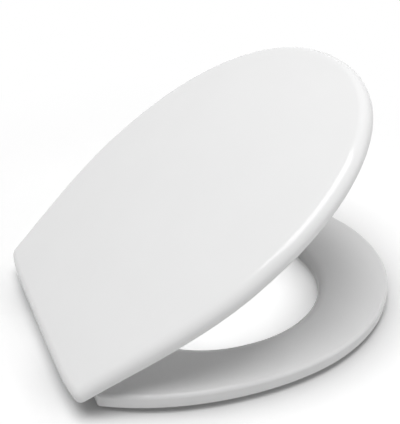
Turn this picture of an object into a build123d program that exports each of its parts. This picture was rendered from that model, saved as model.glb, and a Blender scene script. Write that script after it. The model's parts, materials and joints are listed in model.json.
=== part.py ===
"""Soft-close toilet seat: a domed lid and a ring that swing on one axis, carried by two swan-neck hinges.

Millimetres. The origin lies midway between the two fixing holes, on the deck of the bowl.
+X runs along the hinge axis, the front of the seat points to -Y and +Z is up.
Profiles and plans are drawn from the hinge axis: "forward" is towards the front, "up" is above the axis.
Both swinging pieces are drawn closed. The lid and what it carries are then opened to the angle shown.
"""
import math
import os
from dataclasses import dataclass

from build123d import *

# Fixing to the bowl
FIXING_SPACING = 155.0
FIXING_SETBACK = 22.0
AXIS_HEIGHT = 23.0

# Fits and gaps
RUNNING_FIT = 0.05
SEATED_FIT = 0.03
SIDE_GAP = 0.5
NOTCH_GAP = 1.0
CONTACT_GAP = 0.3
SWING_GAP = 0.6
CLEARING_GAP = 1.5

# Seat ring
RING_REAR = 14.0
RING_LENGTH = 408.0
RING_HALF_WIDTH = 186.2
RING_WIDEST_AT = 192.0
RING_REAR_HALF_WIDTH = 134.0
RING_FLARE = 2.32
RING_FRONT_POWER = 2.0
RING_SIDE_POWER = 2.08
RING_CORNER_RADIUS = 5.0
RING_UNDERSIDE = 7.5
RING_THICKNESS = 16.5
RING_SKIN = 7.0
RING_WALL = 8.0
RING_OUTER_RADIUS = 4.0
RING_INNER_RADIUS = 10.0
RING_LOWER_RADIUS = 2.5
HOLE_CENTRE = 198.5
HOLE_HALF_WIDTH = 125.0
HOLE_HALF_LENGTH = 133.0
HOLE_POWER = 2.1
RIB_WIDTH = 4.0
RIB_PAIRS = 6
NOTCH_CORNER = 1.5
NOTCH_LAND = 8.0

# Lid
LID_OPEN_ANGLE = 34.0
LID_LENGTH = 445.0
LID_HALF_WIDTH = 184.4
LID_WIDEST_AT = 208.0
LID_REAR_HALF_WIDTH = 138.0
LID_FLARE = 1.15
LID_FRONT_POWER = 2.29
LID_SIDE_POWER = 2.13
LID_OVERHANG = 9.0
LID_REAR_FLAT = 88.0
LID_REAR_RECESS = 5.0
LID_RIM_GAP = 2.0
LID_HEIGHT = 19.0
LID_DOME_RADIUS = 5000.0
LID_EDGE_RADIUS = 12.0
LID_CORNER_EXTRA = 0.5
LID_WALL = 4.5

# Rubber buffers
RING_BUFFER_LENGTH = 36.0
RING_BUFFER_WIDTH = 15.0
RING_BUFFER_EDGE = 1.5
BUFFER_PAD_MARGIN = 4.0
STEM_RADIUS = 2.5
STEM_LENGTH = 7.0
STEM_PITCH = 18.0
FRONT_BUFFER_FROM_SIDE = 98.0
FRONT_BUFFER_FROM_FRONT = 77.0
REAR_BUFFER_FROM_SIDE = 45.0
REAR_BUFFER_FROM_REAR = 101.0
LID_BUFFER_FROM_SIDE = 68.0
LID_BUFFER_FROM_FRONT = 104.0
LID_BUFFER_RADIUS = 8.0
LID_BUFFER_HEIGHT = 5.0
LID_BUFFER_EDGE = 1.5

# Dampers and pins
DAMPER_DEPTH = 19.0
DAMPER_RADIUS = 6.5
DAMPER_WALL = 1.5
DAMPER_FLOOR = 3.0
DAMPER_KEY_WIDTH = 2.0
DAMPER_KEY_HEIGHT = 0.8
CAP_THICKNESS = 4.0
SEAL_WIDTH = 1.3
SEAL_THICKNESS = 1.3
VANE_GAP = 0.1
VANE_THICKNESS = 1.8
VANE_ANGLE = -30.0
STATOR_THICKNESS = 2.0
ROTOR_RADIUS = 3.0
ROTOR_TAIL_RADIUS = 1.6
ROTOR_TAIL_LENGTH = 2.0
KEY_HALF_FLAT = 2.1
SHAFT_END_GAP = 1.5
PIN_RADIUS = 3.0
PIN_SEAT = 7.5

# Hinge blocks, two of the same casting
BLOCK_WIDTH = 27.0
BARREL_WALL = 2.0
ARM_LOW = -4.5
FOOT_BEHIND = 14.0
FOOT_AHEAD = 16.0
BLOCK_SHOULDER = 10.0
BLOCK_EDGE = 1.0
FOOT_PAD_THICKNESS = 2.0
FOOT_PAD_CORNER = 3.0
FOOT_PAD_HOLE_RADIUS = 4.5
INSERT_RADIUS = 5.0
INSERT_LENGTH = 10.0
INSERT_BORE_RADIUS = 3.4

# Knuckles of the lid and of the ring
LUG_WIDTH = 21.5
LUG_RADIUS = 8.0
LUG_ROOT = 6.0
GUSSET_REACH = 32.0
BUSH_RADIUS = 5.0

# Levels above the hinge axis
DECK = -AXIS_HEIGHT
FOOT_LOW = DECK + FOOT_PAD_THICKNESS
RING_LOW = DECK + RING_UNDERSIDE
RING_TOP = RING_LOW + RING_THICKNESS
LID_RIM = RING_TOP + LID_RIM_GAP
LID_CROWN = LID_RIM + LID_HEIGHT
LID_REAR_TOP = LID_CROWN - (LID_LENGTH / 2) ** 2 / (2 * LID_DOME_RADIUS)
LID_TRIM_LOW = -LUG_RADIUS - LID_WALL
LID_BUFFER_LOW = RING_TOP + CONTACT_GAP
LID_BUFFER_SEAT = LID_BUFFER_LOW + LID_BUFFER_HEIGHT

# Reach of the hinge block, and of the lid's rear edge as it swings under the block's arm
BARREL_RADIUS = DAMPER_RADIUS + BARREL_WALL
BLOCK_REAR = FIXING_SETBACK - FOOT_BEHIND
BLOCK_FRONT = FIXING_SETBACK + FOOT_AHEAD
REAR_EDGE_CENTRE = math.hypot(LID_EDGE_RADIUS - LID_OVERHANG, LID_REAR_TOP - LID_EDGE_RADIUS)
SWING_RADIUS = REAR_EDGE_CENTRE + LID_EDGE_RADIUS + SWING_GAP

# Places along and forward of the hinge axis
HINGE_LINE = Axis((0, FIXING_SETBACK, AXIS_HEIGHT), (-1, 0, 0))
LEFT_HINGE = -FIXING_SPACING / 2
RIGHT_HINGE = FIXING_SPACING / 2
RING_FRONT = RING_REAR + RING_LENGTH
LID_BUFFER_SIDE = RING_HALF_WIDTH - LID_BUFFER_FROM_SIDE
LID_BUFFER_FORWARD = RING_FRONT - LID_BUFFER_FROM_FRONT


def place(x, forward, up):
    """The model's point at x along, forward of and above the hinge axis."""
    return (x, FIXING_SETBACK - forward, AXIS_HEIGHT + up)


def level(up):
    """A plane parallel to the deck, with local x to the left, local y forward and its normal up."""
    return Plane(origin=place(0, 0, up), x_dir=(-1, 0, 0), z_dir=(0, 0, 1))


def along_axis(profile, x_low, x_high):
    """Extrude a (forward, up) profile along the hinge axis between two x positions."""
    across = Plane(origin=place(x_high, 0, 0), x_dir=(0, -1, 0), z_dir=(-1, 0, 0))
    return extrude(across * profile, amount=x_high - x_low)


def rectangle(low_x, high_x, low_y, high_y):
    """A rectangle given by its four sides."""
    centre = Pos((low_x + high_x) / 2, (low_y + high_y) / 2)
    return centre * Rectangle(high_x - low_x, high_y - low_y)


@dataclass
class SeatPlan:
    """A seat's plan: a rear edge that sweeps forward at its ends, flaring sides and a superellipse front."""

    rear: float
    length: float
    rear_half: float
    flare: float
    widest: float
    half: float
    front_power: float
    side_power: float
    corner: float
    recess: float = 0.0
    flat: float = 0.0

    def right_side(self, inset):
        """Points from the rear corner to just short of the front's tip, drawn in by inset."""
        rear = self.rear + inset
        run = self.widest - inset
        rear_half = self.rear_half - inset
        half = self.half - inset
        ahead = self.length - self.widest - inset
        slope = self.flare * (half - rear_half) / run
        first = self.recess / run
        lead = (self.recess + self.corner) / run
        thirds = [first + (1 - first) * step / 3 for step in (1, 2, 3)]
        points = []
        for share in [first, lead, *thirds]:
            keep = 1 - 3 * share**2 + 2 * share**3
            turn = share * (1 - share) ** 2 * run * slope
            points.append((keep * rear_half + turn + (1 - keep) * half, rear + run * share))
        for degrees in range(15, 90, 15):
            angle = math.radians(degrees)
            x = half * math.cos(angle) ** (2 / self.side_power)
            y = ahead * math.sin(angle) ** (2 / self.front_power)
            points.append((x, rear + run + y))
        return points

    def face(self, inset=0.0):
        """The plan drawn in by inset. A straight lead joins each rear corner to the curve of its side."""
        right = self.right_side(inset)
        left = [(-x, y) for x, y in reversed(right)]
        tip = (0, self.rear + self.length - inset)
        corners = [right[0], left[-1]]
        leads = [Line(right[0], right[1]), Line(left[-2], left[-1])]
        curve = [*right[1:], tip, *left[:-1]]
        loop = Spline(*curve, tangents=[lead % 0 for lead in leads], tangent_scalars=[1, 1])
        edges = [loop, *leads]
        if self.recess:
            back = Line((-self.flat, self.rear + inset), (self.flat, self.rear + inset))
            edges += [back, TangentArc(back @ 1, corners[0], tangent=(1, 0))]
            edges += [TangentArc(back @ 0, corners[1], tangent=(-1, 0))]
        else:
            edges += [Line(*corners)]
        plan = make_face(edges)
        if self.corner <= inset:
            return plan
        vertices = [plan.vertices().sort_by_distance(corner)[0] for corner in corners]
        return fillet(vertices, self.corner - inset)


LID_PLAN = SeatPlan(
    -LID_OVERHANG, LID_LENGTH, LID_REAR_HALF_WIDTH, LID_FLARE, LID_WIDEST_AT, LID_HALF_WIDTH,
    LID_FRONT_POWER, LID_SIDE_POWER, LID_EDGE_RADIUS + LID_CORNER_EXTRA, LID_REAR_RECESS, LID_REAR_FLAT,
)
RING_PLAN = SeatPlan(
    RING_REAR, RING_LENGTH, RING_REAR_HALF_WIDTH, RING_FLARE, RING_WIDEST_AT, RING_HALF_WIDTH,
    RING_FRONT_POWER, RING_SIDE_POWER, RING_CORNER_RADIUS,
)


def hole_face(margin=0.0):
    """The superellipse of the ring's opening, grown by margin."""
    def point(degrees):
        across = math.cos(math.radians(degrees))
        ahead = math.sin(math.radians(degrees))
        x = math.copysign(abs(across) ** (2 / HOLE_POWER), across) * (HOLE_HALF_WIDTH + margin)
        y = math.copysign(abs(ahead) ** (2 / HOLE_POWER), ahead) * (HOLE_HALF_LENGTH + margin)
        return (x, HOLE_CENTRE + y)

    return make_face(Spline(*[point(degrees) for degrees in range(0, 360, 20)], periodic=True))


def lug_spans(hinge_x):
    """The x ranges of the knuckles beside a hinge block: the driven one on its -X side and the plain one."""
    near = BLOCK_WIDTH / 2 + SIDE_GAP
    far = near + LUG_WIDTH
    return {"drive": (hinge_x - far, hinge_x - near), "plain": (hinge_x + near, hinge_x + far)}


LID_LUGS = [lug_spans(LEFT_HINGE)["drive"], lug_spans(RIGHT_HINGE)["plain"]]
RING_LUGS = [lug_spans(LEFT_HINGE)["plain"], lug_spans(RIGHT_HINGE)["drive"]]


def bush_bore(span):
    return along_axis(Circle(BUSH_RADIUS + SEATED_FIT), *span)


def lid_dome(inset):
    """The lid's outer form, or its hollow when drawn in by the wall: a prism under a dome, rounded over."""
    crown = LID_CROWN - inset
    edge_radius = LID_EDGE_RADIUS - inset
    prism = extrude(level(LID_TRIM_LOW) * LID_PLAN.face(inset), amount=crown - LID_TRIM_LOW + edge_radius)
    ball = place(0, LID_LENGTH / 2 - LID_OVERHANG, crown - LID_DOME_RADIUS)
    dome = prism & Pos(*ball) * Sphere(LID_DOME_RADIUS)
    return fillet(dome.faces().sort_by(Axis.Z)[-1].edges(), edge_radius)


def make_lid():
    body = lid_dome(0)
    lid = body - lid_dome(LID_WALL)

    # The rim is cut level
    rim = rectangle(-LID_OVERHANG, LID_LENGTH, LID_TRIM_LOW, LID_RIM)
    lid -= along_axis(rim, -LID_HALF_WIDTH - LID_WALL, LID_HALF_WIDTH + LID_WALL)

    # Between its knuckles the rear wall is cut away to pass under the arms of the hinge blocks
    rear_wall = rectangle(-LID_OVERHANG, 0, LID_TRIM_LOW, BARREL_RADIUS + CLEARING_GAP)
    lid -= along_axis(rear_wall, LID_LUGS[0][1], LID_LUGS[1][0])

    # Knuckles hang from the plate, each with a gusset that runs forward
    root = LID_CROWN - LID_WALL
    web = rectangle(-LUG_ROOT, LUG_ROOT, 0, root)
    gusset = Polygon((0, -LUG_ROOT), (GUSSET_REACH, root), (0, root), align=None)
    for span in LID_LUGS:
        lid += along_axis(Circle(LUG_RADIUS) + web + gusset, *span) & body
        lid -= bush_bore(span)

    # Bosses that hold the buffers
    for side in (-LID_BUFFER_SIDE, LID_BUFFER_SIDE):
        seat = level(LID_BUFFER_SEAT) * Pos(side, LID_BUFFER_FORWARD)
        lid += extrude(seat * Circle(LID_BUFFER_RADIUS), amount=root - LID_BUFFER_SEAT)
        lid -= extrude(seat * Circle(STEM_RADIUS + SEATED_FIT), amount=STEM_LENGTH + SEATED_FIT)
    return lid


def ring_buffer_spots():
    """Where the four buffers sit under the ring, each turned along the ring's run."""
    spots = {}
    rows = {
        "front": (RING_HALF_WIDTH - FRONT_BUFFER_FROM_SIDE, RING_FRONT - FRONT_BUFFER_FROM_FRONT),
        "rear": (RING_HALF_WIDTH - REAR_BUFFER_FROM_SIDE, RING_REAR + REAR_BUFFER_FROM_REAR),
    }
    for row, (side, forward) in rows.items():
        run = math.degrees(math.atan2(forward - HOLE_CENTRE, side)) + 90
        spots[row + "_left"] = Pos(side, forward) * Rot(0, 0, run)
        spots[row + "_right"] = Pos(-side, forward) * Rot(0, 0, -run)
    return spots


def stem_pair(radius):
    return Pos(-STEM_PITCH / 2, 0) * Circle(radius) + Pos(STEM_PITCH / 2, 0) * Circle(radius)


def make_ring():
    ring = extrude(level(RING_LOW) * (RING_PLAN.face() - hole_face()), amount=RING_THICKNESS)
    ring = fillet(ring.faces().sort_by(Axis.Z)[-1].outer_wire().edges(), RING_OUTER_RADIUS)
    ring = fillet(ring.faces().sort_by(Axis.Z)[-1].inner_wires()[0].edges(), RING_INNER_RADIUS)
    ring = fillet(ring.faces().sort_by(Axis.Z)[0].outer_wire().edges(), RING_LOWER_RADIUS)

    # Hollow underside, crossed by ribs and left solid at the hinges and over the buffers
    channel = RING_PLAN.face(RING_WALL) - hole_face(RING_WALL)
    channel -= rectangle(-RING_HALF_WIDTH, RING_HALF_WIDTH, 0, BLOCK_FRONT + NOTCH_GAP + NOTCH_LAND)
    for rib in range(RIB_PAIRS):
        turn = (180 * rib + 90) / RIB_PAIRS
        channel -= Pos(0, HOLE_CENTRE) * Rot(0, 0, turn) * Rectangle(2 * RING_LENGTH, RIB_WIDTH)
    margin = 2 * BUFFER_PAD_MARGIN
    stems = Sketch()
    for spot in ring_buffer_spots().values():
        channel -= spot * SlotOverall(RING_BUFFER_LENGTH + margin, RING_BUFFER_WIDTH + margin)
        stems += spot * stem_pair(STEM_RADIUS + SEATED_FIT)
    ring -= extrude(level(RING_LOW) * channel, amount=RING_THICKNESS - RING_SKIN)
    ring -= extrude(level(RING_LOW) * stems, amount=STEM_LENGTH + SEATED_FIT)

    # Notches round the hinge blocks, and the knuckles beside them
    notch = RectangleRounded(BLOCK_WIDTH + 2 * SIDE_GAP, 2 * (BLOCK_FRONT + NOTCH_GAP), NOTCH_CORNER)
    for hinge_x in (LEFT_HINGE, RIGHT_HINGE):
        ring -= extrude(level(RING_LOW) * Pos(hinge_x, 0) * notch, amount=RING_THICKNESS)
    web = rectangle(0, RING_REAR + RING_CORNER_RADIUS, -LUG_RADIUS, RING_TOP - RING_OUTER_RADIUS)
    for span in RING_LUGS:
        ring += along_axis(Circle(LUG_RADIUS) + web, *span)
        ring -= bush_bore(span)
    return ring


def make_ring_buffer(spot):
    outline = spot * SlotOverall(RING_BUFFER_LENGTH, RING_BUFFER_WIDTH)
    pad = extrude(level(DECK) * outline, amount=RING_UNDERSIDE)
    pad = chamfer(pad.faces().sort_by(Axis.Z)[0].edges(), RING_BUFFER_EDGE)
    return pad + extrude(level(RING_LOW) * spot * stem_pair(STEM_RADIUS), amount=STEM_LENGTH)


def make_lid_buffer(side):
    spot = Pos(side, LID_BUFFER_FORWARD)
    pad = extrude(level(LID_BUFFER_LOW) * spot * Circle(LID_BUFFER_RADIUS), amount=LID_BUFFER_HEIGHT)
    pad = chamfer(pad.faces().sort_by(Axis.Z)[0].edges(), LID_BUFFER_EDGE)
    return pad + extrude(level(LID_BUFFER_SEAT) * spot * Circle(STEM_RADIUS), amount=STEM_LENGTH)


def damper_key(margin):
    half = DAMPER_KEY_WIDTH / 2 + margin
    return rectangle(-half, half, DAMPER_RADIUS / 2, DAMPER_RADIUS + DAMPER_KEY_HEIGHT + margin)


def make_block(hinge_x):
    """A swan-neck casting: a foot on the deck, a riser in front and an arm back to the barrel on the axis."""
    upright = rectangle(BLOCK_REAR, BLOCK_FRONT, FOOT_LOW, BARREL_RADIUS) - Circle(SWING_RADIUS)
    neck = upright + rectangle(0, BLOCK_FRONT, ARM_LOW, BARREL_RADIUS)
    shoulder = neck.vertices().group_by(Axis.Y)[-1].sort_by(Axis.X)[-1]
    profile = fillet(shoulder, BLOCK_SHOULDER) + Circle(BARREL_RADIUS)
    x_low = hinge_x - BLOCK_WIDTH / 2
    x_high = hinge_x + BLOCK_WIDTH / 2
    block = along_axis(profile, x_low, x_high)
    block = chamfer(block.faces().filter_by(Axis.X).edges(), BLOCK_EDGE)
    block -= along_axis(Circle(DAMPER_RADIUS) + damper_key(SEATED_FIT), x_low, x_low + DAMPER_DEPTH)
    block -= along_axis(Circle(PIN_RADIUS + SEATED_FIT), x_low + DAMPER_DEPTH, x_high)
    socket = level(FOOT_LOW) * Pos(-hinge_x, FIXING_SETBACK) * Circle(INSERT_RADIUS + SEATED_FIT)
    return block - extrude(socket, amount=INSERT_LENGTH + SEATED_FIT)


def make_insert(hinge_x):
    """A threaded sleeve in the block, with a nose that passes through the foot pad to the deck."""
    spot = Pos(-hinge_x, FIXING_SETBACK)
    sleeve = Circle(INSERT_RADIUS) - Circle(INSERT_BORE_RADIUS)
    nose = Circle(FOOT_PAD_HOLE_RADIUS - CONTACT_GAP) - Circle(INSERT_BORE_RADIUS)
    insert = extrude(level(FOOT_LOW) * spot * sleeve, amount=INSERT_LENGTH)
    return insert + extrude(level(DECK) * spot * nose, amount=FOOT_PAD_THICKNESS)


def make_foot_pad(hinge_x):
    length = BLOCK_FRONT - BLOCK_REAR
    pad = Pos(-hinge_x, BLOCK_REAR + length / 2) * RectangleRounded(BLOCK_WIDTH, length, FOOT_PAD_CORNER)
    pad -= Pos(-hinge_x, FIXING_SETBACK) * Circle(FOOT_PAD_HOLE_RADIUS)
    return extrude(level(DECK) * pad, amount=FOOT_PAD_THICKNESS)


def make_damper(hinge_x):
    """A rotary damper in the barrel: a keyed can with a stator, a cap, a sealing ring and a vane shaft."""
    mouth = hinge_x - BLOCK_WIDTH / 2
    cap_end = mouth + CAP_THICKNESS
    floor = mouth + DAMPER_DEPTH - DAMPER_FLOOR
    bore = DAMPER_RADIUS - DAMPER_WALL

    can = Circle(DAMPER_RADIUS - SEATED_FIT) + damper_key(0)
    housing = along_axis(can, mouth, mouth + DAMPER_DEPTH)
    housing -= along_axis(Circle(bore), mouth, floor)
    tail_end = floor + ROTOR_TAIL_LENGTH
    housing -= along_axis(Circle(ROTOR_TAIL_RADIUS + RUNNING_FIT), floor, tail_end + VANE_GAP)
    half_stator = STATOR_THICKNESS / 2
    stator = rectangle(-half_stator, half_stator, -DAMPER_RADIUS + DAMPER_WALL / 2, -ROTOR_RADIUS - VANE_GAP)
    housing += along_axis(stator, cap_end, floor)

    seal_inner = ROTOR_RADIUS + RUNNING_FIT
    seal_outer = seal_inner + SEAL_WIDTH
    seal_from = cap_end - SEAL_THICKNESS
    cap = along_axis(Circle(bore - SEATED_FIT) - Circle(ROTOR_RADIUS + RUNNING_FIT), mouth, cap_end)
    cap -= along_axis(Circle(seal_outer + SEATED_FIT), seal_from, cap_end)
    seal = along_axis(Circle(seal_outer) - Circle(seal_inner), seal_from, cap_end)

    flats = Circle(ROTOR_RADIUS) & Rectangle(2 * ROTOR_RADIUS, 2 * KEY_HALF_FLAT)
    half_vane = VANE_THICKNESS / 2
    vane = Rot(0, 0, VANE_ANGLE) * rectangle(0, bore - VANE_GAP, -half_vane, half_vane)
    rotor = along_axis(flats, lug_spans(hinge_x)["drive"][0] + SHAFT_END_GAP, mouth)
    rotor += along_axis(Circle(ROTOR_RADIUS), mouth, floor - VANE_GAP)
    rotor += along_axis(vane, cap_end + VANE_GAP, floor - VANE_GAP)
    rotor += along_axis(Circle(ROTOR_TAIL_RADIUS), floor - VANE_GAP, tail_end)
    return {"damper_housing": housing, "damper_cap": cap, "damper_seal": seal, "damper_rotor": rotor}


def make_drive_bush(hinge_x):
    flats = Rectangle(2 * BUSH_RADIUS, 2 * (KEY_HALF_FLAT + RUNNING_FIT))
    key_hole = Circle(ROTOR_RADIUS + RUNNING_FIT) & flats
    return along_axis(Circle(BUSH_RADIUS) - key_hole, *lug_spans(hinge_x)["drive"])


def make_pin_bush(hinge_x):
    return along_axis(Circle(BUSH_RADIUS) - Circle(PIN_RADIUS + RUNNING_FIT), *lug_spans(hinge_x)["plain"])


def make_hinge_pin(hinge_x):
    inner_end = hinge_x + BLOCK_WIDTH / 2 - PIN_SEAT
    return along_axis(Circle(PIN_RADIUS), inner_end, lug_spans(hinge_x)["plain"][1] - SHAFT_END_GAP)


def build_pieces():
    """Every piece by node name, with the lid and what turns with it opened."""
    pieces = {"seat_ring": make_ring(), "lid": make_lid()}
    turns_with_lid = ["lid"]
    for name, spot in ring_buffer_spots().items():
        pieces[name + "_ring_buffer"] = make_ring_buffer(spot)
    for name, side in (("left", LID_BUFFER_SIDE), ("right", -LID_BUFFER_SIDE)):
        pieces[name + "_lid_buffer"] = make_lid_buffer(side)
        turns_with_lid.append(name + "_lid_buffer")

    # The left hinge damps the lid and the right one the ring. Each carries the other piece on its pin
    hinges = [("left", LEFT_HINGE, "lid", "ring"), ("right", RIGHT_HINGE, "ring", "lid")]
    for name, hinge_x, damped, pinned in hinges:
        pieces[name + "_hinge_block"] = make_block(hinge_x)
        pieces[name + "_fixing_insert"] = make_insert(hinge_x)
        pieces[name + "_foot_pad"] = make_foot_pad(hinge_x)
        for part_name, piece in make_damper(hinge_x).items():
            pieces[damped + "_" + part_name] = piece
        pieces[damped + "_drive_bush"] = make_drive_bush(hinge_x)
        pieces[pinned + "_hinge_pin"] = make_hinge_pin(hinge_x)
        pieces[pinned + "_pin_bush"] = make_pin_bush(hinge_x)
    turns_with_lid += ["lid_damper_rotor", "lid_drive_bush", "lid_pin_bush"]

    for name in turns_with_lid:
        pieces[name] = pieces[name].rotate(HINGE_LINE, LID_OPEN_ANGLE)
    return pieces


os.makedirs("parts", exist_ok=True)
for node, piece in build_pieces().items():
    export_step(piece, f"parts/{node}.step")
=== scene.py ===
# %% [markdown]
# # A soft-close toilet seat
# The solids of the seat come packed as a frame: every piece is where it belongs, and two joints say how
# the ring and the lid swing. This lesson dresses that frame. It sets up a small studio, gives each piece
# its real material and makes the lid again as one smooth surface.

# %% The frame
import json
import bmesh
import bpy
import numpy as np
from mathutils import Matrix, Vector


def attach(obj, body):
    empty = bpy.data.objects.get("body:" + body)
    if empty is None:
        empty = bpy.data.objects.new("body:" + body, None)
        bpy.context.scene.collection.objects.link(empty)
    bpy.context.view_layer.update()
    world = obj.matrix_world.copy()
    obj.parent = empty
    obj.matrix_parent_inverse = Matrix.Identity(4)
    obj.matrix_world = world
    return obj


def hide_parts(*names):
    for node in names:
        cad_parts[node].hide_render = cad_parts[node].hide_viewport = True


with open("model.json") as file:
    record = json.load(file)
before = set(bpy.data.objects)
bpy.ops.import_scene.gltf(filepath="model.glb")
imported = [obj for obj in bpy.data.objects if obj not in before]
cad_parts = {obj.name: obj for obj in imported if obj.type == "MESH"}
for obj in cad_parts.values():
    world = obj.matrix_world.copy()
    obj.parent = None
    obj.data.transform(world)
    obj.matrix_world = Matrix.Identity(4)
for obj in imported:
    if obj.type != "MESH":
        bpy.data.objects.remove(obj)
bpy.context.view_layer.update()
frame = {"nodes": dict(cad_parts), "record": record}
record = frame["record"]

# %% [markdown]
# ## Camera
# The seat is seen from behind and to its right, a little from above. The eye and the aim were found by
# fitting the outlines of lid and ring to the picture, so they are plain places in the frame, in metres.
# A long lens keeps the far tip of the lid from shrinking too much.

# %% Camera
EYE = Vector((-0.6483, 0.1336, 0.5428))
AIM = Vector((0.0396, -0.1835, 0.0906))
LENS = 65.45
SENSOR = 36

camera = bpy.data.objects.new("camera", bpy.data.cameras.new("camera"))
camera.data.sensor_fit = "HORIZONTAL"
camera.data.sensor_width = SENSOR
camera.data.lens = LENS
camera.location = EYE
camera.rotation_euler = (AIM - EYE).to_track_quat("-Z", "Y").to_euler()
bpy.context.scene.collection.objects.link(camera)
bpy.context.scene.camera = camera
bpy.context.scene.view_settings.view_transform = "Standard"
print("camera at", [round(value, 3) for value in EYE])

# %% [markdown]
# ## Colours and nodes
# A colour is written as it looks on a screen, as an sRGB hex value, and the renderer works in linear light,
# so one function turns the one into the other. Another adds a shader node, sets its options and inputs, and
# links what is given as a socket. Every material below is built from these two. A pattern's scale comes from
# its real size in millimetres.

# %% Colours and nodes
MM = 0.001


def linear(code):
    """An sRGB hex colour as linear red, green, blue and alpha."""
    levels = np.array([int(code[place:place + 2], 16) for place in (1, 3, 5)]) / 255
    curve = np.where(levels <= 0.04045, levels / 12.92, ((levels + 0.055) / 1.055) ** 2.4)
    return (*curve.tolist(), 1.0)


def per_mm(size):
    """The texture scale at which a pattern of about this size in millimetres repeats once."""
    return 1 / (size * MM)


def add(material, kind, inputs=None, **settings):
    """Add a node of a kind to a material, with settings and with inputs given as values or as sockets."""
    node = material.node_tree.nodes.new("ShaderNode" + kind)
    for name, value in settings.items():
        setattr(node, name, value)
    for name, value in (inputs or {}).items():
        if isinstance(value, bpy.types.NodeSocket):
            material.node_tree.links.new(value, node.inputs[name])
        else:
            node.inputs[name].default_value = value
    return node


def blank(name):
    """A new material with an empty node tree, and its output node."""
    material = bpy.data.materials.new(name)
    material.use_nodes = True
    material.node_tree.nodes.clear()
    return material, add(material, "OutputMaterial")


def show(material, output, shader):
    """Give a material's output its shader."""
    material.node_tree.links.new(shader, output.inputs["Surface"])
    print("material:", material.name)
    return material


print("mid grey in linear light:", round(linear("#808080")[0], 3))

# %% [markdown]
# ## Board
# White goods are photographed on a pale board, and the board takes the shadow. What the camera sees of it,
# straight or in a reflection, also glows a little, and far out it fades into the white of the backdrop. In
# the middle, under the seat's opening, that glow is much stronger: a painted pool of light that lifts the
# seat's shadow there. So the lit board comes out white and only the shadow stays grey, and the lamps are no
# brighter for it. Close to the seat, light from a white room round it would reach the board less. This studio
# has no such room, so an occlusion node gives the board that soft contact shadow.

# %% Board
FLOOR_SIZE = 4.0
FLOOR_MIDDLE = (0, -0.17, 0)
PAINTED_GLOW_MIDDLE = 0.85
GLOW_AROUND = 0.13
GLOW_REACH = (0.08, 0.19)
WHITE_REACH = (0.33, 0.75)
CONTACT_REACH = 0.05
CONTACT_TONE = 0.55


def background_seen(owner):
    """1 for rays from the camera, from a mirror or through glass, and 0 for rays that carry light."""
    path = add(owner, "LightPath").outputs
    seen = add(owner, "Math", {0: path["Is Camera Ray"], 1: path["Is Glossy Ray"]}, operation="MAXIMUM")
    seen = add(owner, "Math", {0: seen.outputs[0], 1: path["Is Transmission Ray"]}, operation="MAXIMUM")
    return seen.outputs[0]


def shaded_tone(material):
    """The board's faintly grained white, darker where the seat is near."""
    grain = add(material, "TexNoise", {"Scale": per_mm(40), "Detail": 3.0})
    tone = add(material, "ValToRGB", {"Fac": grain.outputs["Fac"]})
    tone.color_ramp.elements[0].color = linear("#f3f3f3")
    tone.color_ramp.elements[1].color = linear("#f6f6f6")
    near = add(material, "AmbientOcclusion", {"Distance": CONTACT_REACH})
    shade = add(material, "MapRange", {0: near.outputs["AO"], 3: CONTACT_TONE, 4: 1.0})
    shaded = add(material, "Mix", {0: 1.0, 6: tone.outputs["Color"], 7: shade.outputs[0]},
                 data_type="RGBA", blend_type="MULTIPLY")
    return shaded.outputs[2]


def matt_white_board():
    """A diffuse board with a seen-only glow that falls off from its middle as a painted pool of light, mixed
    into white by the distance.
    """
    material, output = blank("matt_white_board")
    tone = shaded_tone(material)
    seen = background_seen(material)
    place = add(material, "TexCoord").outputs["Object"]
    away = add(material, "VectorMath", {0: place, 1: FLOOR_MIDDLE}, operation="DISTANCE").outputs["Value"]
    near, far = GLOW_REACH
    # painted light: the seen-only glow is strongest under the seat's opening, where it lifts the seat's
    # shadow on the board
    inner = add(material, "MapRange", {0: away, 1: near, 2: far, 3: PAINTED_GLOW_MIDDLE, 4: GLOW_AROUND},
                interpolation_type="SMOOTHSTEP")
    near, far = WHITE_REACH
    outer = add(material, "MapRange", {0: away, 1: near, 2: far}, interpolation_type="SMOOTHSTEP")
    strength = add(material, "Math", {0: seen, 1: inner.outputs[0]}, operation="MULTIPLY")
    fade = add(material, "Math", {0: seen, 1: outer.outputs[0]}, operation="MULTIPLY")
    board = add(material, "BsdfDiffuse", {"Color": tone, "Roughness": 1.0})
    glow = add(material, "Emission", {"Color": tone, "Strength": strength.outputs[0]})
    both = add(material, "AddShader", {0: board.outputs[0], 1: glow.outputs[0]})
    white = add(material, "Emission", {"Color": linear("#ffffff"), "Strength": 1.0})
    faded = add(material, "MixShader", {0: fade.outputs[0], 1: both.outputs[0], 2: white.outputs[0]})
    return show(material, output, faded.outputs[0])


square = np.array([(-1, -1, 0), (1, -1, 0), (1, 1, 0), (-1, 1, 0)])
floor_mesh = bpy.data.meshes.new("floor")
floor_mesh.from_pydata(square * FLOOR_SIZE / 2 + FLOOR_MIDDLE, [], [(0, 1, 2, 3)])
floor_mesh.materials.append(matt_white_board())
floor = bpy.data.objects.new("floor", floor_mesh)
bpy.context.scene.collection.objects.link(floor)
print("board:", FLOOR_SIZE, "m wide")

# %% [markdown]
# ## Lamps and backdrop
# One wide softbox hangs overhead, a little behind the seat, so that the slanting lid faces it. A weak one
# from the front and side fills the walls. The backdrop is the world: white to the eye and in reflections,
# and nearly dark as a light, so that the softboxes alone shape the seat.

# %% Lamps and backdrop
SOFTBOXES = {
    "overhead": {"size": 2.1, "watts": 91, "place": (-0.32, 0.35, 3.0)},
    "fill": {"size": 1.5, "watts": 6.0, "place": (-1.1, -1.3, 0.8)},
}
LAMPS_AIM = Vector((0, -0.2, 0))
AMBIENT = "#303030"


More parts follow.
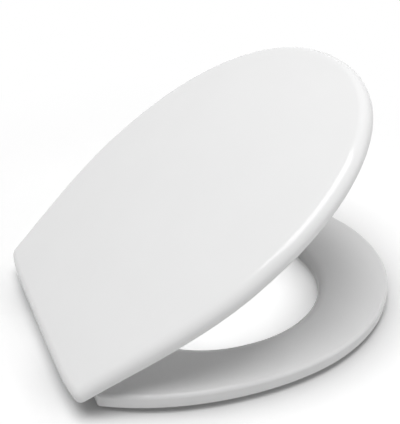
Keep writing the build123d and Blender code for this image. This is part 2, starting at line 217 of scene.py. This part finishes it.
def softbox(name, size, watts, place):
    """A square area lamp at a place, turned towards the middle of the seat."""
    lamp = bpy.data.objects.new("softbox_" + name, bpy.data.lights.new("softbox_" + name, "AREA"))
    lamp.data.size = size
    lamp.data.energy = watts
    lamp.location = place
    lamp.rotation_euler = (LAMPS_AIM - lamp.location).to_track_quat("-Z", "Y").to_euler()
    bpy.context.scene.collection.objects.link(lamp)


for name, settings in SOFTBOXES.items():
    softbox(name, **settings)

world = bpy.data.worlds.new("studio")
bpy.context.scene.world = world
world.use_nodes = True
world.node_tree.nodes.clear()
room = add(world, "Background", {"Color": linear(AMBIENT)})
backdrop = add(world, "Background", {"Color": linear("#ffffff")})
choice = add(world, "MixShader", {0: background_seen(world), 1: room.outputs[0], 2: backdrop.outputs[0]})
world.node_tree.links.new(choice.outputs[0], add(world, "OutputWorld").inputs["Surface"])
print("studio:", len(SOFTBOXES), "softboxes")

# %% [markdown]
# ## White urea moulding
# Lid and ring are urea plastic, pressed and cured in a polished steel mould. That gives a hard, dense white
# with a porcelain gloss, a faint cloudiness from the filler and a very shallow waviness, the orange peel of
# thick mouldings. A dielectric with a low roughness is right for it, with the waviness as a slight bump. Its
# mirror is kept weaker than the index alone gives, because the lights in the picture are faint.

# %% White urea moulding
def white_urea():
    """A clouded white with a gloss that varies a little, over a fine waviness."""
    material, output = blank("white_urea_compression_moulded")
    place = add(material, "TexCoord").outputs["Object"]
    cloud = add(material, "TexNoise", {"Vector": place, "Scale": per_mm(70), "Detail": 2.0})
    tone = add(material, "ValToRGB", {"Fac": cloud.outputs["Fac"]})
    tone.color_ramp.elements[0].color = linear("#eeeeee")
    tone.color_ramp.elements[1].color = linear("#f1f1f1")
    polish = add(material, "TexNoise", {"Vector": place, "Scale": per_mm(25), "Detail": 4.0})
    gloss = add(material, "MapRange", {0: polish.outputs["Fac"], 3: 0.1, 4: 0.14})
    peel = add(material, "TexNoise", {"Vector": place, "Scale": per_mm(6), "Detail": 1.0})
    waves = add(material, "Bump", {"Height": peel.outputs["Fac"], "Strength": 0.03, "Distance": 0.1 * MM})
    plastic = add(material, "BsdfPrincipled", {
        "Base Color": tone.outputs["Color"],
        "Roughness": gloss.outputs[0],
        "Normal": waves.outputs[0],
        "IOR": 1.52,
        "Specular IOR Level": 0.25,
    })
    return show(material, output, plastic.outputs[0])


# %% [markdown]
# ## Soft pieces
# The buffers are a pale thermoplastic elastomer, moulded with a fine matt grain so that they don't stick to
# the glaze. The pads under the hinges are stamped from grey sheet rubber, and the sealing rings are black
# nitrile. All three are rough, and differ in colour and in the size of their grain.

# %% Soft pieces
def soft_rubber(name, dark, light, grain_mm, roughness):
    """A matt rubber between two close tones, with a grain of a given size in millimetres."""
    material, output = blank(name)
    place = add(material, "TexCoord").outputs["Object"]
    bloom = add(material, "TexNoise", {"Vector": place, "Scale": per_mm(12), "Detail": 4.0})
    tone = add(material, "ValToRGB", {"Fac": bloom.outputs["Fac"]})
    tone.color_ramp.elements[0].color = linear(dark)
    tone.color_ramp.elements[1].color = linear(light)
    grain = add(material, "TexNoise", {"Vector": place, "Scale": per_mm(grain_mm), "Detail": 2.0})
    rough = add(material, "Bump", {"Height": grain.outputs["Fac"], "Strength": 0.25, "Distance": 0.05 * MM})
    rubber = add(material, "BsdfPrincipled", {
        "Base Color": tone.outputs["Color"],
        "Roughness": roughness,
        "Normal": rough.outputs[0],
        "IOR": 1.5,
    })
    return show(material, output, rubber.outputs[0])


# %% [markdown]
# ## Metal pieces
# The hinge blocks are zinc, die-cast, polished and chromium plated: a mirror with a faint swell left by the
# casting. The fixing inserts are turned brass, with rings left by the tool. The pins are ground steel, with
# fine scratches round the pin. All are metals, so their colour tints the reflection.

# %% Metal pieces
def metal(name, dark, light, roughness, swell_mm, lines_mm=None, across="Z"):
    """A metal with a swell of a given size, and rings across an axis where a tool has left them."""
    material, output = blank(name)
    place = add(material, "TexCoord").outputs["Object"]
    swell = add(material, "TexNoise", {"Vector": place, "Scale": per_mm(swell_mm), "Detail": 2.0})
    tone = add(material, "ValToRGB", {"Fac": swell.outputs["Fac"]})
    tone.color_ramp.elements[0].color = linear(dark)
    tone.color_ramp.elements[1].color = linear(light)
    height = swell.outputs["Fac"]
    if lines_mm:
        # A wave texture repeats 20 / (2 pi) times a metre at scale 1
        scale = per_mm(lines_mm) * np.pi / 10
        rings = add(material, "TexWave", {"Vector": place, "Scale": scale, "Distortion": 0.4},
                    bands_direction=across)
        height = rings.outputs["Fac"]
    wear = add(material, "MapRange", {0: height, 3: roughness, 4: roughness * 1.5})
    relief = add(material, "Bump", {"Height": height, "Strength": 0.12, "Distance": 0.03 * MM})
    plate = add(material, "BsdfPrincipled", {
        "Base Color": tone.outputs["Color"],
        "Metallic": 1.0,
        "Roughness": wear.outputs[0],
        "Normal": relief.outputs[0],
    })
    return show(material, output, plate.outputs[0])


# %% [markdown]
# ## Damper plastics
# The damper cans and caps are nylon with short glass fibres, dark grey with a faint speckle where fibres lie
# near the skin. Shafts and bushes are acetal, a slippery plastic with a soft sheen, in its natural white for
# the shafts and in grey for the bushes.

# %% Damper plastics
def engineering_plastic(name, dark, light, roughness, speckle_mm):
    """A moulded plastic whose tone is speckled at a given size."""
    material, output = blank(name)
    place = add(material, "TexCoord").outputs["Object"]
    fibres = add(material, "TexNoise", {"Vector": place, "Scale": per_mm(speckle_mm), "Detail": 5.0})
    tone = add(material, "ValToRGB", {"Fac": fibres.outputs["Fac"]})
    tone.color_ramp.elements[0].position = 0.4
    tone.color_ramp.elements[0].color = linear(dark)
    tone.color_ramp.elements[1].position = 0.65
    tone.color_ramp.elements[1].color = linear(light)
    sheen = add(material, "MapRange", {0: fibres.outputs["Fac"], 3: roughness, 4: roughness * 1.2})
    skin = add(material, "Bump", {"Height": fibres.outputs["Fac"], "Strength": 0.1, "Distance": 0.03 * MM})
    plastic = add(material, "BsdfPrincipled", {
        "Base Color": tone.outputs["Color"],
        "Roughness": sheen.outputs[0],
        "Normal": skin.outputs[0],
        "IOR": 1.48,
    })
    return show(material, output, plastic.outputs[0])


# %% [markdown]
# ## Finishing the solids
# The record says which material slot each solid has. One table gives the slot its finish, and every solid of
# the frame gets it, so that a piece looks right from below and with the lid up as well.

# %% Finishing the solids
FINISHES = {
    "white_moulding": white_urea(),
    "buffer_rubber": soft_rubber("pale_elastomer_moulded", "#d7d7d2", "#dedfda", 0.5, 0.55),
    "pad_rubber": soft_rubber("grey_sheet_rubber_stamped", "#adadab", "#b7b7b4", 0.8, 0.7),
    "seal_rubber": soft_rubber("black_nitrile_moulded", "#0d0d0d", "#161616", 0.4, 0.5),
    "hinge_casting": metal("zinc_casting_chromium_plated", "#c9cccf", "#d6d8da", 0.1, 9),
    "insert_brass": metal("brass_turned", "#c49a4c", "#d1a95d", 0.25, 6, lines_mm=0.4),
    "pin_steel": metal("steel_ground", "#b2b2b4", "#bfbfc1", 0.22, 5, lines_mm=0.3, across="X"),
    "damper_plastic": engineering_plastic("glass_filled_nylon_moulded", "#4d4f53", "#5b5d61", 0.45, 0.6),
    "shaft_plastic": engineering_plastic("natural_acetal_moulded", "#d6d6cf", "#dcdcd6", 0.32, 2),
    "bush_plastic": engineering_plastic("grey_acetal_moulded", "#9a9da0", "#a4a7a9", 0.35, 2),
}
SLOTS = {part["node"]: part["material_slot"] for part in record["subparts"]}

for name, node in frame["nodes"].items():
    node.data.materials.clear()
    node.data.materials.append(FINISHES[SLOTS[name]])
print("finished solids:", len(SLOTS))

# %% [markdown]
# ## Measures of the lid
# The lid is one moulding, drawn closed: x runs along the hinge axis, forward is away from it towards the
# front, and up is above it. All of it is then turned about the hinge to the angle of the picture. These are
# its real measures in millimetres, the same as those of the solid that it stands for.

# %% Measures of the lid
hinge = next(joint for joint in record["behaviour"]["joints"] if joint["name"] == "lid_hinge")
AXIS_Y, AXIS_Z = np.array(hinge["pos_m"][1:]) / MM
OPEN_ANGLE = np.radians(-hinge["range_deg"][0])
LENGTH = 445.0
OVERHANG = 9.0
HALF_WIDTH = 184.4
WIDEST_AT = 208.0
REAR_HALF_WIDTH = 138.0
FLARE = 1.15
FRONT_POWER = 2.29
SIDE_POWER = 2.13
REAR_FLAT = 88.0
REAR_RECESS = 5.0
CORNER_RADIUS = 12.5
EDGE_RADIUS = 12.0
WALL = 4.5
RIM = 3.0
CROWN = 22.0
DOME_RADIUS = 5000.0
RIM_ROUND = 0.8
REAR_OPENING_HALF = 91.5
REAR_OPENING_TOP = 10.0
PLAN_MIDDLE = np.array([0, LENGTH / 2 - OVERHANG])


def opened(x, forward, up):
    """The frame's points, in metres, of points of the closed lid in millimetres, turned to the open angle."""
    turned_forward = forward * np.cos(OPEN_ANGLE) - up * np.sin(OPEN_ANGLE)
    turned_up = forward * np.sin(OPEN_ANGLE) + up * np.cos(OPEN_ANGLE)
    return np.stack(np.broadcast_arrays(x, AXIS_Y - turned_forward, AXIS_Z + turned_up), axis=-1) * MM


print("lid opens", round(np.degrees(OPEN_ANGLE)), "degrees about y", AXIS_Y, "z", AXIS_Z)

# %% [markdown]
# ## Outline of the lid
# From the middle of its rear edge the outline runs straight, sweeps forward in an arc to a rounded corner,
# flares out along the side and closes in a superellipse at the front. It could be traced by hand as one long
# spline. Here each stretch has its own formula, so that it stays true when a measure changes.

# %% Outline of the lid
FLAT_POINTS = 200
ARC_POINTS = 200
CORNER_POINTS = 120
SIDE_POINTS = 500
FRONT_POINTS = 900


def side_point(share):
    """The side at a share of the way from the rear to the widest place: a cubic from rear to full width."""
    keep = 1 - 3 * share**2 + 2 * share**3
    turn = share * (1 - share) ** 2 * FLARE * (HALF_WIDTH - REAR_HALF_WIDTH)
    x = keep * REAR_HALF_WIDTH + turn + (1 - keep) * HALF_WIDTH
    return np.stack([x, WIDEST_AT * share - OVERHANG], axis=-1)


def rear_corner(foot, lead):
    """Centre and end angles of the circle that rounds the corner between the rear arc and the side's lead.

    It touches the rear arc from inside, so its centre lies on a circle smaller by the corner radius, and it
    touches the lead line, so its centre also lies on that line moved inwards by the corner radius.
    """
    sweep = ((foot[0] - REAR_FLAT) ** 2 + REAR_RECESS**2) / (2 * REAR_RECESS)
    middle = np.array([REAR_FLAT, sweep - OVERHANG])
    along = (lead - foot) / np.linalg.norm(lead - foot)
    inwards = np.array([-along[1], along[0]])
    start = foot + CORNER_RADIUS * inwards - middle
    reach = start @ along
    step = -reach + np.sqrt(reach**2 - start @ start + (sweep - CORNER_RADIUS) ** 2)
    candidates = [middle + start + along * value for value in (step, -2 * reach - step)]
    centre = min(candidates, key=lambda point: np.linalg.norm(point - foot))
    arc_end = np.arctan2(*(centre - middle)[::-1])
    lead_start = np.arctan2(*-inwards[::-1])
    return sweep, middle, centre, arc_end, lead_start


def circle(centre, radius, start, end, count):
    """Points of an arc at even angles: cosine and sine times the radius, from the centre."""
    angles = np.linspace(start, end, count)
    return centre + radius * np.stack([np.cos(angles), np.sin(angles)], axis=-1)


def half_outline():
    """Points of the right half of the outline, from the middle of the rear edge round to the front's tip."""
    lead = CORNER_RADIUS / WIDEST_AT
    first = REAR_RECESS / WIDEST_AT
    foot, lead_end = side_point(np.array([first, first + lead]))
    sweep, middle, centre, arc_end, lead_start = rear_corner(foot, lead_end)
    flat = np.linspace([0, -OVERHANG], [REAR_FLAT, -OVERHANG], FLAT_POINTS)
    arc = circle(middle, sweep, -np.pi / 2, arc_end, ARC_POINTS)
    corner = circle(centre, CORNER_RADIUS, arc_end, lead_start, CORNER_POINTS)
    side = side_point(np.linspace(first + lead, 1, SIDE_POINTS))
    turn = np.linspace(0, np.pi / 2, FRONT_POINTS)
    front = np.stack([
        HALF_WIDTH * np.cos(turn).clip(0) ** (2 / SIDE_POWER),
        WIDEST_AT - OVERHANG + (LENGTH - WIDEST_AT) * np.sin(turn) ** (2 / FRONT_POWER),
    ], axis=-1)
    return np.concatenate([flat, arc[1:], corner[1:], side, front[1:]])


right_half = half_outline()
print("half outline:", len(right_half), "points,", np.ptp(right_half, axis=0).round(1), "mm")

# %% [markdown]
# ## Columns round the lid
# The mesh needs fewer points than the curves have, close together where the outline bends and wide apart
# where it runs straight. One interpolation over a length that counts bends as extra way spreads them. The
# normals come from the heading of the fine curve, which is smoother than that of the spread points.

# %% Columns round the lid
HALF_COLUMNS = 330
BEND_CLOSENESS = 40.0


def spread(points, count, closeness, stop):
    """Points spread along a half outline, measured so that bends count for more, and their unit normals.

    The rear edge has a stop at one x, which comes twice. The normals look out, to the right of the way round.
    """
    steps = np.diff(points, axis=0)
    lengths = np.linalg.norm(steps, axis=1)
    heading = np.unwrap(np.arctan2(steps[:, 1], steps[:, 0]))
    bends = np.append(np.abs(np.diff(heading)), 0)
    measure = np.concatenate([[0], np.cumsum(lengths + closeness * bends)])
    rear = points[:, 1] < 0
    stop_place = np.interp(stop, points[rear, 0], measure[rear])
    places = np.sort(np.append(np.linspace(0, measure[-1], count), [stop_place, stop_place]))
    spots = np.stack([np.interp(places, measure, points[:, axis]) for axis in (0, 1)], axis=-1)
    between = (measure[1:] + measure[:-1]) / 2
    turn = np.interp(places, [0, *between, measure[-1]], [0, *heading, np.pi])
    return spots, np.stack([np.sin(turn), -np.cos(turn)], axis=-1)


def mirrored(right):
    """A closed loop from its right half: the left half follows in turn, with x the other way."""
    return np.concatenate([right, (right * [-1, 1])[-2:0:-1]])


outline, normals = map(mirrored, spread(right_half, HALF_COLUMNS, BEND_CLOSENESS, REAR_OPENING_HALF))
print("outline:", len(outline), "columns,", np.ptp(outline, axis=0).round(1), "mm")

# %% [markdown]
# ## Plate and rim of the lid
# The top is a very flat dome, part of a large sphere. Its rows shrink towards the middle, where they would
# crowd if they kept the columns' spacing, so they even out on the way in. The rim is low all round, and
# higher in the rear opening, where the hinges pass under the lid.

# %% Plate and rim of the lid
INNERMOST_SHARE = 0.04
OPENING_SLACK = 0.001


def rim_height(points):
    """Height of the rim at each column, raised in the rear opening.

    The end of the opening is in the outline twice, and the twin nearer to the middle belongs to the opening.
    """
    twin_follows = np.isclose(points, np.roll(points, -1, axis=0)).all(axis=1)
    twin_leads = np.isclose(points, np.roll(points, 1, axis=0)).all(axis=1)
    on_right = np.arange(len(points)) <= len(points) // 2
    nearer = np.where(on_right, twin_follows, twin_leads)
    inside = (np.abs(points[:, 0]) < REAR_OPENING_HALF - OPENING_SLACK) | nearer
    return np.where(inside & (points[:, 1] < 0), REAR_OPENING_TOP, RIM)


def dome_height(plan, top):
    """Height of the dome's sphere over points of the plan."""
    away = plan - PLAN_MIDDLE
    return top - DOME_RADIUS + np.sqrt(DOME_RADIUS**2 - (away**2).sum(axis=-1))


def plate(border, rows):
    """Rows of the plan from its middle to a border, each the border shrunk by a share.

    Near the middle the points are spaced evenly, and the fourth power brings them to the border's spacing.
    """
    share = np.linspace(INNERMOST_SHARE, 1, rows)[:-1, None]
    loop = np.concatenate([border, border[:1]])
    run = np.concatenate([[0], np.cumsum(np.linalg.norm(np.diff(loop, axis=0), axis=1))])
    even = np.linspace(0, run[-1], len(border), endpoint=False)
    places = even + (run[:-1] - even) * share**4
    spots = np.stack([np.interp(places, run, loop[:, axis]) for axis in (0, 1)], axis=-1)
    centre = np.broadcast_to(PLAN_MIDDLE, (1, *border.shape))
    return np.concatenate([centre, PLAN_MIDDLE + share[..., None] * (spots - PLAN_MIDDLE)])


rim = rim_height(outline)
print("columns in the rear opening:", int((rim > RIM).sum()))

# %% [markdown]
# ## Shell of the lid
# The lid is a plate of even thickness under the dome, rounded over into a wall. One closed surface makes it:
# round the outline in one direction, and in the other from the top's middle out over the edge, down the
# wall, round the rim, up the inner wall and back to the middle of the underside.

# %% Shell of the lid
OUTER_ROWS = {"plate_rows": 26, "edge_rows": 16, "wall_rows": 3}
INNER_ROWS = {"plate_rows": 18, "edge_rows": 10, "wall_rows": 3}
RIM_STEPS = 5


def skin(wall, radius, plate_rows, edge_rows, wall_rows):
    """One side of the shell, from the middle of the plate to just above the rim: rows of x, forward and up.

    The plate follows the dome and the edge is a ball of the given radius rolled along between dome and wall.
    """
    top = CROWN - wall
    ball = outline - (wall + radius) * normals
    away = ball - PLAN_MIDDLE
    ball_up = top - DOME_RADIUS + np.sqrt((DOME_RADIUS - radius) ** 2 - (away**2).sum(axis=1))
    tilt = np.arcsin((away * normals).sum(axis=1) / (DOME_RADIUS - radius))
    end = np.arccos(np.clip((rim + RIM_ROUND - ball_up) / radius, 0, 1))
    angle = tilt + (end - tilt) * np.linspace(0, 1, edge_rows)[:, None]
    edge_plan = ball + radius * np.sin(angle)[..., None] * normals
    edge_up = ball_up + radius * np.cos(angle)
    plate_plan = plate(edge_plan[0], plate_rows)
    plate_up = dome_height(plate_plan, top)
    drop = np.linspace(0, 1, wall_rows + 1)[1:, None]
    wall_up = edge_up[-1] + drop * (rim + RIM_ROUND - edge_up[-1])
    wall_plan = np.broadcast_to(edge_plan[-1], (wall_rows, *outline.shape))
    plan = np.concatenate([plate_plan, edge_plan, wall_plan])
    up = np.concatenate([plate_up, edge_up, wall_up])
    return np.concatenate([plan, up[..., None]], axis=-1)


def rim_rows(outer, inner):
    """Rows round the rim from the outer to the inner wall: a quarter round, the flat rim, a quarter round."""
    turn = np.linspace(0, np.pi / 2, RIM_STEPS)[1:, None, None]
    width = inner - outer
    width = width / np.linalg.norm(width, axis=1, keepdims=True)
    inset = RIM_ROUND * (1 - np.cos(turn)) * width
    up = rim[:, None] + RIM_ROUND * (1 - np.sin(turn))
    first = np.concatenate([outer + inset, up], axis=-1)
    last = np.concatenate([inner - inset, up], axis=-1)
    return np.concatenate([first, last[::-1]])


def lid_shell():
    """The outer skin, the rim and the inner skin the other way round, as one grid in the frame."""
    outer = skin(0, EDGE_RADIUS, **OUTER_ROWS)
    inner = skin(WALL, EDGE_RADIUS - WALL, **INNER_ROWS)
    lip = rim_rows(outer[-1, :, :2], inner[-1, :, :2])
    rows = np.concatenate([outer, lip, inner[::-1]])
    return opened(rows[..., 0], rows[..., 1], rows[..., 2])


shell = lid_shell()
print("shell of the lid:", shell.shape[0], "rows of", shell.shape[1], "points")

# %% [markdown]
# ## Knuckles and bosses of the lid
# Two knuckles hang from the plate beside the hinges, each a round eye with a web above it and a gusset that
# runs forward. Seen along the axis such a form has one radius in every direction, the largest of the eye's,
# the web's and the gusset's, so it can be drawn as a radius over the angle and carried along the axis. Two
# round bosses with a hole hold the buffers, and those are turned profiles.

# %% Knuckles and bosses of the lid
LUG_NEAR = 91.5
LUG_WIDTH = 21.5
LUG_RADIUS = 8.0
LUG_ROOT = 6.0
WEB_REAR_UP = 8.5
LUG_ROUND = 0.6
GUSSET_REACH = 32.0
BUSH_BORE = 5.03
BOSS_SIDE = 118.2
BOSS_FORWARD = 318.0
BOSS_LOW = 6.3
BOSS_RADIUS = 8.0
STEM_BORE = 2.53
STEM_DEPTH = 7.03
LUG_COLUMNS = 240
BOSS_COLUMNS = 72
ROUND_STEPS = 4
JUST_PAST = 1e-6
PARALLEL = 1e-9
FAR = 1000


def reach_inside(corners, angles):
    """How far a convex polygon reaches from the axis at each angle: to the nearest side facing that way."""
    corners = np.array(corners)
    sides = np.roll(corners, -1, axis=0) - corners
    outwards = np.stack([sides[:, 1], -sides[:, 0]], axis=-1)
    offsets = (outwards * corners).sum(axis=1)
    towards = outwards @ np.stack([np.cos(angles), np.sin(angles)])
    with np.errstate(divide="ignore", invalid="ignore"):
        reach = np.where(towards > PARALLEL, offsets[:, None] / towards, np.inf)
    return reach.min(axis=0).clip(0, FAR)


def lug(x_low, x_high):
    """A knuckle as a closed tube round the axis: up one end, over, down the other and through the bore."""
    x_middle = (x_low + x_high) / 2
    axis_up, front_up = dome_height(np.array([[x_middle, 0], [x_middle, GUSSET_REACH]]), CROWN - WALL / 2)
    web = [(-LUG_ROOT, -JUST_PAST), (LUG_ROOT, -JUST_PAST), (LUG_ROOT, axis_up), (-LUG_ROOT, WEB_REAR_UP)]
    gusset = [(-JUST_PAST, -LUG_ROOT), (GUSSET_REACH, front_up), (-JUST_PAST, axis_up)]
    corner_angles = [np.arctan2(up, forward) for forward, up in (*web[2:], gusset[1])]
    even_angles = np.linspace(-np.pi, np.pi, LUG_COLUMNS, endpoint=False)
    angles = np.sort(np.concatenate([even_angles, corner_angles]))
    eye = np.full_like(angles, LUG_RADIUS)
    radius = np.maximum.reduce([eye, reach_inside(web, angles), reach_inside(gusset, angles)])
    turn = np.linspace(0, np.pi / 2, ROUND_STEPS)[:, None]
    outer = radius - LUG_ROUND * (1 - np.sin(turn))
    bore = np.full_like(outer, BUSH_BORE) + LUG_ROUND * (1 - np.sin(turn))
    inset = np.broadcast_to(LUG_ROUND * (1 - np.cos(turn)), outer.shape)
    low, high = x_low + inset, x_high - inset
    reach = np.concatenate([outer, outer[::-1], bore, bore[::-1]])
    x = np.concatenate([low, high[::-1], high, low[::-1]])
    return opened(x, reach * np.cos(angles), reach * np.sin(angles))


def boss(side):
    """A turned boss: radius and height along a profile, carried round its own axis."""
    roof = dome_height(np.array([side, BOSS_FORWARD]), CROWN - WALL / 2)
    turn = np.linspace(0, np.pi / 2, ROUND_STEPS)
    lip = BOSS_RADIUS - LUG_ROUND + LUG_ROUND * np.sin(turn)
    lip_up = BOSS_LOW + LUG_ROUND - LUG_ROUND * np.cos(turn)
    radius = np.concatenate([[0, STEM_BORE, STEM_BORE], lip, [BOSS_RADIUS, 0]])[:, None]
    up = np.concatenate([[BOSS_LOW + STEM_DEPTH] * 2, [BOSS_LOW], lip_up, [roof, roof]])[:, None]
    angles = np.linspace(0, 2 * np.pi, BOSS_COLUMNS, endpoint=False)
    return opened(side + radius * np.cos(angles), BOSS_FORWARD + radius * np.sin(angles), up)


lugs = [lug(x_low, x_low + LUG_WIDTH) for x_low in (LUG_NEAR, -LUG_NEAR - LUG_WIDTH)]
bosses = [boss(side) for side in (-BOSS_SIDE, BOSS_SIDE)]
print("knuckles:", len(lugs), "bosses:", len(bosses))

# %% [markdown]
# ## From grid to mesh
# A grid of points becomes faces by joining each point with its neighbours in the next row and column. Rows
# that end in a point are closed by merging what falls together there, and a tube's last row joins its first.
# The signed volume tells whether the faces look outwards, and the grid is turned round if they don't.

# %% From grid to mesh
CREASE_ANGLE = np.radians(35)
MERGE = 1e-6


def grid_faces(rows, columns, first, close_rows):
    """Corner numbers of the quads of a grid whose columns run round, counted from a first point."""
    row = np.arange(rows if close_rows else rows - 1)[:, None] * columns
    below = (row + columns) % (rows * columns)
    column = np.arange(columns)[None, :]
    beside = (column + 1) % columns
    corners = np.broadcast_arrays(row + column, row + beside, below + beside, below + column)
    return first + np.stack(corners, axis=-1).reshape(-1, 4)


def signed_volume(points, quads):
    """The volume inside the faces, positive where they look out: a sum of slim pyramids to the origin."""
    a, b, c, d = (points[quads[:, corner]] for corner in range(4))
    return ((np.cross(a, b) * c).sum() + (np.cross(a, c) * d).sum()) / 6


def joined_quads(points, grids):
    """The quads of all grids, whose points follow one another, with every grid's faces looking outwards."""
    quads = []
    first = 0
    for grid, close_rows in grids:
        faces = grid_faces(*grid.shape[:2], first, close_rows)
        quads.append(faces if signed_volume(points, faces) > 0 else faces[:, ::-1])
        first += grid.shape[0] * grid.shape[1]
    return np.concatenate(quads)


def make_piece(name, grids, slot, body):
    """A mesh from closed grids of points, finished with a slot's material and riding on a body."""
    points = np.concatenate([grid.reshape(-1, 3) for grid, _ in grids])
    mesh = bpy.data.meshes.new(name)
    mesh.from_pydata(points, [], joined_quads(points, grids))
    work = bmesh.new()
    work.from_mesh(mesh)
    bmesh.ops.remove_doubles(work, verts=work.verts, dist=MERGE)
    bmesh.ops.dissolve_degenerate(work, edges=work.edges, dist=MERGE)
    work.to_mesh(mesh)
    work.free()
    mesh.shade_smooth()
    mesh.set_sharp_from_angle(angle=CREASE_ANGLE)
    mesh.materials.append(FINISHES[slot])
    piece = bpy.data.objects.new(name, mesh)
    bpy.context.scene.collection.objects.link(piece)
    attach(piece, body)
    print(name + ":", len(mesh.polygons), "faces")
    return piece


lid_grids = [(shell, False), *((grid, True) for grid in lugs), *((grid, False) for grid in bosses)]
lid = make_piece("lid_moulding", lid_grids, "white_moulding", "cover")
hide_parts("lid")
